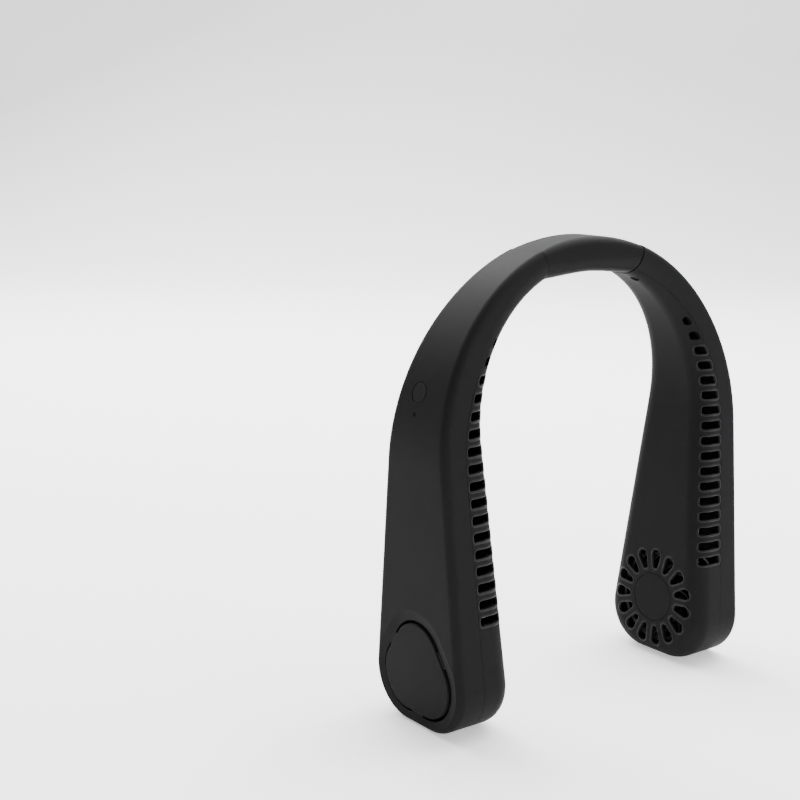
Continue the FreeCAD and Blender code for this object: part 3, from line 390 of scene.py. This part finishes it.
@dataclass
class NeckLink:
    """Soft sleeve over the crown with its spring strip and cable, all in millimetres and degrees."""

    overall_height: float = 205.0
    outer_radius: float = 88.8
    inner_radius: float = 64.9
    crown_thickness: float = 12.8
    foot_width: float = 62.2
    crown_width: float = 22.0
    outer_edge_radius: float = 3.456
    inner_edge_radius: float = 8.448
    wall_thickness: float = 2.0
    seam_angle: float = 20.0
    seam_gap: float = 0.16
    drop: float = 0.26
    lip_radius: float = 0.3
    fullness: float = 3.0
    inner_edge_loss: float = 2.0
    outer_edge_gain: float = 1.6
    swell_power: float = 2.5
    spine_depth: float = 8.2
    spine_thickness: float = 0.5
    spine_width: float = 10.0
    spine_angle: float = 23.0
    cable_depth: float = 5.0
    cable_radius: float = 1.1
    cable_angle: float = 34.5
    sections: int = 72
    corner_points: int = 14
    lip_points: int = 5
    cable_points: int = 16

    @property
    def centre(self) -> float:
        """Height of the outer arc's centre."""
        return self.overall_height - self.outer_radius

    def point(self, angle: float, reach: float, across: float) -> Vector:
        """Point at an angle from the crown's top, a reach from the outer centre and a place across."""
        return Vector((reach * math.sin(angle), across, self.centre + reach * math.cos(angle)))

    def swell(self, angle: float) -> float:
        """Share of the sleeve's fullness at an angle: all of it at the top, none at the seams."""
        return 1 - min(1.0, abs(angle) / math.radians(self.seam_angle)) ** self.swell_power

    def section(self, angle: float, inset: float) -> list[Vector]:
        """Ring of points round the link at an angle.

        Args:
            angle: Angle from the crown's top in radians.
            inset: How far the ring is drawn in from the casing's form.

        Returns:
            Points of the rounded section, in order.
        """
        # The hollow inside keeps the casing's plain form.
        swell = self.swell(angle) if inset < self.wall_thickness else 0.0
        slope = (self.foot_width - self.crown_width) / (2 * self.overall_height)
        lean = slope * math.cos(angle)
        slant = math.hypot(1, lean)
        flank = self.foot_width / 2 - slope * self.centre - inset * math.hypot(1, slope)
        step = self.outer_radius - self.inner_radius - self.crown_thickness
        inner = self.inner_radius + inset
        low = step * math.cos(angle) + math.sqrt(inner ** 2 - (step * math.sin(angle)) ** 2)
        low -= self.fullness * swell
        high = self.outer_radius - inset
        turn = math.atan2(1, lean)
        half = []
        for reach, inward, radius, start, end in (
            (high, -1, self.outer_edge_radius + self.outer_edge_gain * swell - inset, 0.0, turn),
            (low, 1, self.inner_edge_radius - self.inner_edge_loss * swell - inset, turn, math.pi),
        ):
            middle = reach + inward * radius
            across = flank - lean * middle - radius * slant
            for index in range(self.corner_points + 1):
                spot = start + (end - start) * index / self.corner_points
                half.append((middle + radius * math.cos(spot), across + radius * math.sin(spot)))
        outline = half + [(reach, -across) for reach, across in reversed(half)]
        return [self.point(angle, reach, across) for reach, across in outline]

    def sleeve(self) -> bpy.types.Object:
        """Make the sleeve with rounded lips and a hollow inside.

        Returns:
            The sleeve.
        """
        end = math.radians(self.seam_angle) - self.seam_gap / 2 / self.outer_radius
        lip = self.lip_radius / self.outer_radius
        stations = []
        for index in range(self.lip_points):
            share = math.pi / 2 * index / self.lip_points
            inset = self.lip_radius * (1 - math.sin(share))
            stations.append((-end + lip * (1 - math.cos(share)), self.drop + inset))
        stations += [
            (-(end - lip) + 2 * (end - lip) * index / self.sections, self.drop)
            for index in range(self.sections + 1)
        ]
        stations += [(-angle, inset) for angle, inset in reversed(stations[:self.lip_points])]
        outside = [self.section(angle, inset) for angle, inset in stations]
        inside = [
            self.section(end - 2 * end * index / self.sections, self.wall_thickness)
            for index in range(self.sections + 1)
        ]
        return add_piece("neck_sleeve_skin", skin(outside + inside, closed=True), SLEEVE)

    def spine(self) -> bpy.types.Object:
        """Make the spring strip.

        Returns:
            The strip.
        """
        rings = []
        half_width, half_height = self.spine_width / 2, self.spine_thickness / 2
        reach = self.outer_radius - self.spine_depth
        corners = ((1, 1), (1, -1), (-1, -1), (-1, 1))
        for index in range(self.sections + 1):
            angle = math.radians(self.spine_angle) * (2 * index / self.sections - 1)
            rings.append([
                self.point(angle, reach + up * half_height, out * half_width) for out, up in corners
            ])
        piece = add_piece("neck_spine_strip", skin(rings, closed=False, capped=True), SPRING)
        piece.data.shade_flat()
        return piece

    def cable(self) -> bpy.types.Object:
        """Make the cable that joins the two arms.

        Returns:
            The cable.
        """
        rings = []
        reach = self.outer_radius - self.cable_depth
        for index in range(self.sections + 1):
            angle = math.radians(self.cable_angle) * (2 * index / self.sections - 1)
            ring = []
            for turn in range(self.cable_points):
                spot = 2 * math.pi * turn / self.cable_points
                across = self.cable_radius * math.cos(spot)
                ring.append(self.point(angle, reach + self.cable_radius * math.sin(spot), across))
            rings.append(ring)
        return add_piece("neck_cable_jacket", skin(rings, closed=False, capped=True), JACKET)

    def build(self) -> None:
        """Make the soft pieces and hide the frame nodes they stand in for."""
        for piece, node, slot in (
            (self.sleeve(), "neck_sleeve", "neck_rubber"),
            (self.spine(), "neck_spine", "spring_steel"),
            (self.cable(), "neck_cable", "cable_rubber"),
        ):
            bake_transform(piece)
            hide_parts(node)


@dataclass
class Arm:
    """One arm: its shells, covers, fan, duct and battery."""

    side: Side
    finishes: dict[str, Finish] = field(default_factory=lambda: {
        "outer_shell": CASING, "inner_shell": CASING, "intake_cover": COVER, "motor_cap": COVER,
        "motor_screws": SCREW_WITH_PAINTED_SHADE, "motor_plate": PLATE, "bearing": BEARING, "stator": CORE,
        "stator_coils": COIL, "shaft": SHAFT, "rotor_can": PLATE, "rotor_magnet": MAGNET,
        "impeller": IMPELLER, "duct_cover": DUCT, "battery": POUCH, "neck_plug": DUCT,
    })

    def build(self, nodes: dict[str, bpy.types.Object]) -> None:
        """Dress every node of the arm.

        Args:
            nodes: The frame's nodes by name.
        """
        dress(nodes, {f"{self.side.value}_{name}": finish for name, finish in self.finishes.items()})


@dataclass
class NeckScrew:
    """Cross-recessed screw that holds an arm to the neck link, in millimetres and degrees."""

    side: Side
    reach: float = 66.4
    centre_height: float = 127.3
    angle: float = 29.0
    offset: float = -4.5
    head_radius: float = 1.5
    head_height: float = 1.0
    head_round: float = 0.3
    recess_reach: float = 0.95
    recess_half_width: float = 0.22
    recess_depth: float = 0.6
    recess_slope: float = 0.12
    shank_radius: float = 0.8
    shank_length: float = 5.0
    thread_pitch: float = 0.7
    thread_depth: float = 0.16
    tip_length: float = 0.6
    tip_share: float = 0.35
    turn_points: int = 64
    head_rings: int = 22
    shank_rings: int = 60

    def head_level(self, across: float, along: float) -> float:
        """Height of the head's face over its underside, with the cross cut into it.

        Args:
            across: Place across the face.
            along: Place along the face.

        Returns:
            Height in millimetres.
        """
        away = math.hypot(across, along)
        edge = max(0.0, away - self.head_radius + self.head_round)
        dome = math.sqrt(max(0.0, self.head_round ** 2 - edge ** 2))
        level = self.head_height - self.head_round + dome
        outside = min(
            max(abs(one) - self.recess_reach, abs(other) - self.recess_half_width)
            for one, other in ((across, along), (along, across))
        )
        return level - self.recess_depth * min(1.0, max(0.0, -outside / self.recess_slope))

    def thread_radius(self, down: float, turn: float) -> float:
        """Radius of the thread, which narrows to the tip.

        Args:
            down: Depth under the head.
            turn: Turn round the axis in radians.

        Returns:
            Radius in millimetres.
        """
        rise = abs((down / self.thread_pitch - turn / (2 * math.pi)) % 1 - 0.5) * 2
        left = min(1.0, (self.shank_length - down) / self.tip_length)
        narrowing = self.tip_share + (1 - self.tip_share) * left
        return (self.shank_radius - self.thread_depth * rise) * narrowing

    def rings(self) -> list[list[Vector]]:
        """Rings of points from the middle of the head's face to the tip.

        Returns:
            Rings with the screw's axis along Z and its head's underside at zero.
        """
        turns = [2 * math.pi * point / self.turn_points for point in range(self.turn_points)]
        around = [Vector((math.cos(turn), math.sin(turn), 0)) for turn in turns]
        rows = []
        for index in range(1, self.head_rings + 1):
            radius = self.head_radius * index / self.head_rings
            rows.append([
                Vector((spot.x, spot.y, self.head_level(spot.x, spot.y)))
                for spot in (way * radius for way in around)
            ])
        rows.append([way * self.head_radius for way in around])
        for index in range(self.shank_rings + 1):
            down = self.shank_length * index / self.shank_rings
            depth = Vector((0, 0, -down))
            rows.append([
                way * self.thread_radius(down, turn) + depth for way, turn in zip(around, turns)
            ])
        return rows

    def build(self) -> None:
        """Make the screw in its recess and let it ride on the arm."""
        lean = math.radians(self.angle) * self.side.sign
        radial = Vector((math.sin(lean), 0, math.cos(lean)))
        spot = radial * self.reach + Vector((0, self.offset, self.centre_height))
        turned = radial.to_track_quat("-Z", "Y").to_matrix().to_4x4()
        shape = skin(self.rings(), closed=False, capped=True)
        bmesh.ops.transform(shape, matrix=Matrix.Translation(spot) @ turned, verts=shape.verts)
        piece = add_piece(f"{self.side.value}_neck_screw_cross", shape, SCREW_WITH_PAINTED_SHADE)
        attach(piece, self.side.body)
        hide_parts(f"{self.side.value}_neck_screw")


@dataclass
class GrilleLips:
    """Rounded lips round an arm's petals and outlets, in millimetres and degrees."""

    side: Side
    lip_radius: float = 0.55
    sink: float = 0.37
    sharp_angle: float = 40.0
    straight_low: float = 60.0
    straight_high: float = 110.0
    shortest_outline: float = 18.0
    longest_outline: float = 60.0
    finest_step: float = 0.25
    weld: float = 0.001
    ring_points: int = 10

    def shown_skin(self, shape: bmesh.types.BMesh) -> set[bmesh.types.BMFace]:
        """Find the skin of the inner shell that faces the neck and the front.

        Args:
            shape: Mesh of the shell in millimetres.

        Returns:
            Faces that smooth edges join to the middle of the skin.
        """
        straight = [
            face for face in shape.faces
            if self.straight_low < face.calc_center_median().z < self.straight_high
        ]
        first = min(straight, key=lambda face: abs(face.calc_center_median().x))
        found, waiting = {first}, [first]
        while waiting:
            for edge in waiting.pop().edges:
                if edge.calc_face_angle(math.pi) < math.radians(self.sharp_angle):
                    fresh = [face for face in edge.link_faces if face not in found]
                    found.update(fresh)
                    waiting.extend(fresh)
        return found

    def outlines(
        self, shape: bmesh.types.BMesh, shown: set[bmesh.types.BMFace]
    ) -> list[list[bmesh.types.BMVert]]:
        """Follow the openings' edges in the shown skin.

        Args:
            shape: Mesh of the shell in millimetres.
            shown: Faces of the shown skin.

        Returns:
            Closed rows of points, one for each petal and outlet.
        """
        steps: dict[bmesh.types.BMVert, bmesh.types.BMVert] = {}
        for face in (face for face in shape.faces if face in shown):
            for corner in face.loops:
                if not any(other in shown for other in corner.edge.link_faces if other is not face):
                    steps[corner.vert] = corner.link_loop_next.vert
        rows = []
        while steps:
            first, spot = steps.popitem()
            row = [first]
            while spot is not first and spot in steps:
                row.append(spot)
                spot = steps.pop(spot)
            length = sum((here.co - there.co).length for here, there in zip(row, row[1:] + row[:1]))
            if spot is first and self.shortest_outline < length < self.longest_outline:
                rows.append(row)
        return rows

    def lip(self, row: list[bmesh.types.BMVert], shown: set[bmesh.types.BMFace]) -> list[list[Vector]]:
        """Lay a round lip along an opening's edge.

        Args:
            row: Points of the edge, in order.
            shown: Faces of the shown skin.

        Returns:
            Rings of points round the lip.
        """
        kept = [row[0]]
        for vert in row[1:]:
            if (vert.co - kept[-1].co).length > self.finest_step:
                kept.append(vert)
        rings = []
        for index, vert in enumerate(kept):
            along = (kept[(index + 1) % len(kept)].co - kept[index - 1].co).normalized()
            out = sum((face.normal for face in vert.link_faces if face in shown), Vector()).normalized()
            wall = along.cross(out).normalized()
            inward = sum((face.normal for face in vert.link_faces if face not in shown), Vector())
            wall = wall if wall.dot(inward) > 0 else -wall
            middle = vert.co - (out + wall) * self.sink
            turns = (2 * math.pi * point / self.ring_points for point in range(self.ring_points))
            rings.append([
                middle + (out * math.cos(turn) + wall * math.sin(turn)) * self.lip_radius
                for turn in turns
            ])
        return rings

    def build(self, nodes: dict[str, bpy.types.Object]) -> None:
        """Make the lips of the arm and let them ride on it.

        Args:
            nodes: The frame's nodes by name.
        """
        shell = bmesh.new()
        shell.from_mesh(nodes[f"{self.side.value}_inner_shell"].data)
        bmesh.ops.transform(shell, matrix=Matrix.Scale(1 / MM, 4), verts=shell.verts)
        bmesh.ops.remove_doubles(shell, verts=shell.verts, dist=self.weld)
        shown = self.shown_skin(shell)
        rows = self.outlines(shell, shown)
        lips = bmesh.new()
        for row in rows:
            lay(lips, self.lip(row, shown), closed=True)
        shell.free()
        piece = add_piece(f"{self.side.value}_grille_lips", lips, LIP)
        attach(piece, self.side.body)
        log.info("%s openings with a lip on the %s arm", len(rows), self.side.value)


@dataclass
class Controls:
    """Button, lamp, switch, board and charging socket of the left arm."""

    finishes: dict[str, Finish] = field(default_factory=lambda: {
        "power_button": BUTTON, "led_lens": LENS, "tact_switch": SWITCH, "main_board": BOARD,
        "board_screws": SCREW_WITH_PAINTED_SHADE, "usb_socket": SOCKET,
    })

    def build(self, nodes: dict[str, bpy.types.Object]) -> None:
        """Dress every node of the controls.

        Args:
            nodes: The frame's nodes by name.
        """
        dress(nodes, self.finishes)


@dataclass(frozen=True)
class SoftBox:
    """A large studio light, placed by its direction from the fan."""

    name: str
    azimuth: float
    elevation: float
    distance_m: float
    width_m: float
    height_m: float
    watts: float


@dataclass
class Studio:
    """Pale floor, soft lights and the camera of the photograph.

    Sizes without a unit in their name are in millimetres, angles in degrees.
    """

    focal_pixels: float = 1426.435
    image_pixels: float = 800.0
    sensor_mm: float = 36.0
    azimuth: float = 37.39
    elevation: float = 11.328
    roll: float = 0.5
    aim_across: float = -76.585
    aim_up: float = 28.006
    distance: float = 638.438
    middle_height: float = 102.5
    floor_front_m: float = 9.0
    floor_half_width_m: float = 6.0
    floor_behind_m: float = 1.5
    sweep_radius_m: float = 0.8
    sweep_height_m: float = 3.0
    sweep_steps: int = 24
    world_strength: float = 0.3
    boxes: tuple[SoftBox, ...] = (
        SoftBox("top_box", 228.0, 58.0, 1.4, 1.6, 1.6, 60.0),
        SoftBox("right_box", 290.0, 52.0, 1.5, 1.0, 1.0, 22.0),
        SoftBox("front_box", -15.0, 30.0, 1.8, 1.2, 1.2, 13.0),
        SoftBox("back_box", 177.0, 37.0, 1.8, 1.4, 1.0, 51.0),
    )

    def direction(self, azimuth: float, elevation: float) -> Vector:
        """Direction from the fan, with the azimuth from the front edges towards the left arm."""
        turn, rise = math.radians(azimuth), math.radians(elevation)
        level = math.cos(rise)
        return Vector((-math.sin(turn) * level, -math.cos(turn) * level, math.sin(rise)))

    def floor(self) -> None:
        """Lay the floor and sweep it up behind the fan."""
        shape = bmesh.new()
        away = self.direction(self.azimuth + 180, 0)
        aside = Vector((away.y, -away.x, 0))
        profile = [(-self.floor_front_m, 0.0), (self.floor_behind_m, 0.0)]
        for index in range(1, self.sweep_steps + 1):
            angle = math.pi / 2 * index / self.sweep_steps
            profile.append((self.floor_behind_m + self.sweep_radius_m * math.sin(angle),
                            self.sweep_radius_m * (1 - math.cos(angle))))
        profile.append((self.floor_behind_m + self.sweep_radius_m, self.sweep_height_m))
        rows = []
        for along, rise in profile:
            level = away * along + Vector((0, 0, rise))
            spots = [level + aside * (self.floor_half_width_m * sign) for sign in (-1, 1)]
            rows.append([shape.verts.new(spot / MM) for spot in spots])
        for (here, here_far), (there, there_far) in zip(rows, rows[1:]):
            shape.faces.new((here, here_far, there_far, there))
        add_piece("studio_floor", shape, FLOOR)

    def light(self) -> None:
        """Hang the soft boxes and set the even light of the room."""
        aim = Vector((0, 0, self.middle_height * MM))
        for box in self.boxes:
            lamp = bpy.data.lights.new(box.name, "AREA")
            lamp.shape = "RECTANGLE"
            lamp.size, lamp.size_y = box.width_m, box.height_m
            lamp.energy = box.watts
            holder = bpy.data.objects.new(box.name, lamp)
            bpy.context.scene.collection.objects.link(holder)
            back = self.direction(box.azimuth, box.elevation)
            holder.location = aim + back * box.distance_m
            holder.rotation_euler = back.to_track_quat("Z", "Y").to_euler()
        world = bpy.data.worlds.new("studio_room")
        bpy.context.scene.world = world
        world.use_nodes = True
        backdrop = world.node_tree.nodes["Background"]
        backdrop.inputs["Color"].default_value = linear(WHITE)
        backdrop.inputs["Strength"].default_value = self.world_strength

    def camera(self) -> None:
        """Stand the camera where the photograph was taken."""
        back = self.direction(self.azimuth, self.elevation)
        turn, tilt = math.radians(self.azimuth), math.radians(self.roll)
        right = Vector((math.cos(turn), -math.sin(turn), 0))
        up = back.cross(right)
        aim = Vector((0, 0, self.middle_height)) + right * self.aim_across + up * self.aim_up
        across = right * math.cos(tilt) + up * math.sin(tilt)
        above = up * math.cos(tilt) - right * math.sin(tilt)
        lens = bpy.data.cameras.new("photo_camera")
        lens.sensor_width = self.sensor_mm
        lens.lens = self.focal_pixels / self.image_pixels * self.sensor_mm
        holder = bpy.data.objects.new("photo_camera", lens)
        bpy.context.scene.collection.objects.link(holder)
        turned = Matrix((across, above, back)).transposed().to_4x4()
        holder.matrix_world = Matrix.Translation((aim + back * self.distance) * MM) @ turned
        bpy.context.scene.camera = holder

    def build(self) -> None:
        """Set up the whole studio."""
        self.floor()
        self.light()
        self.camera()


def main() -> None:
    """Dress the frame, add the soft pieces and set up the studio."""
    logging.basicConfig(level=logging.INFO, format="%(name)s: %(message)s")
    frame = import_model()
    nodes = frame["nodes"]
    for side in Side:
        Arm(side).build(nodes)
        NeckScrew(side).build()
        GrilleLips(side).build(nodes)
    Controls().build(nodes)
    NeckLink().build()
    Studio().build()


if __name__ == "__main__":
    main()
